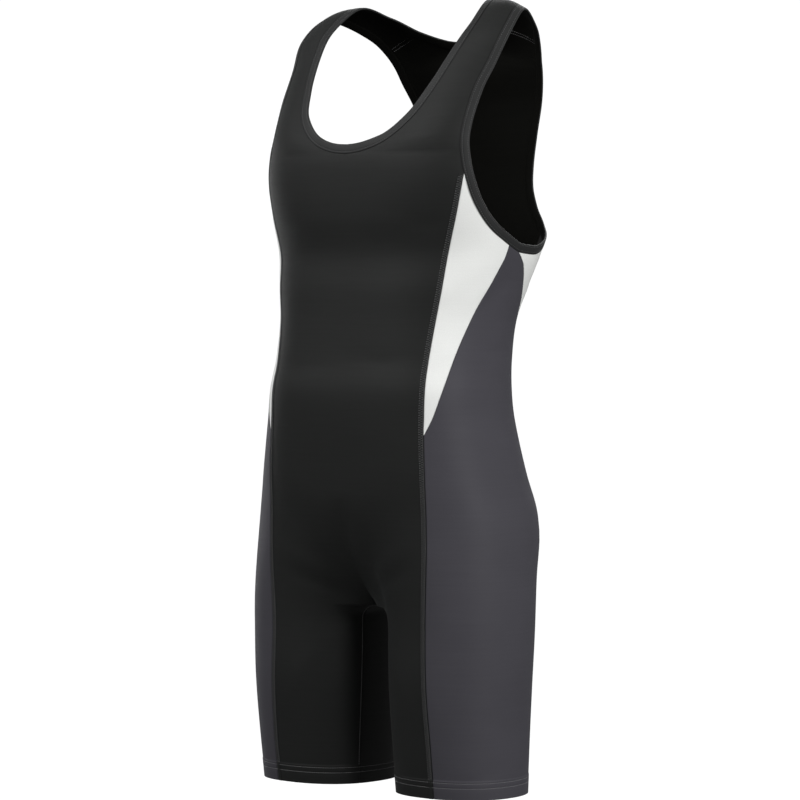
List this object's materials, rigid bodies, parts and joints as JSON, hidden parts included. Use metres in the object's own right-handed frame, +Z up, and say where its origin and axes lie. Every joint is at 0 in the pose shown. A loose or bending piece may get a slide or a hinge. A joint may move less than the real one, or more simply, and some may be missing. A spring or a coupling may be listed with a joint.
{
  "type": "wrestling singlet",
  "caption": "Sleeveless one-piece wrestling singlet with short legs, a racer back, pale side inserts and bound neck and armholes, held in its worn shape with nothing inside.",
  "frame": {"origin": "midway between the tops of the two shoulder straps, where the wearer's shoulders hold the garment up", "axes": "+Z up towards the wearer's head, -Y towards the front, +X towards the wearer's left"},
  "size_m": [0.3628, 0.2453, 0.8727],
  "materials": {
    "black_knit": "smooth stretch knit with a soft sheen",
    "charcoal_knit": "smooth stretch knit, slightly heathered",
    "white_knit": "smooth matt stretch knit",
    "black_binding": "folded stretch binding, stitched"
  },
  "bodies": {
    "root": {"front_panel": "black_knit", "back_panel": "black_knit", "side_panel_left": "charcoal_knit", "side_panel_right": "charcoal_knit", "front_insert_left": "white_knit", "front_insert_right": "white_knit", "back_insert_left": "white_knit", "back_insert_right": "white_knit", "neck_binding": "black_binding", "armhole_binding_left": "black_binding", "armhole_binding_right": "black_binding"}
  },
  "joints": []
}
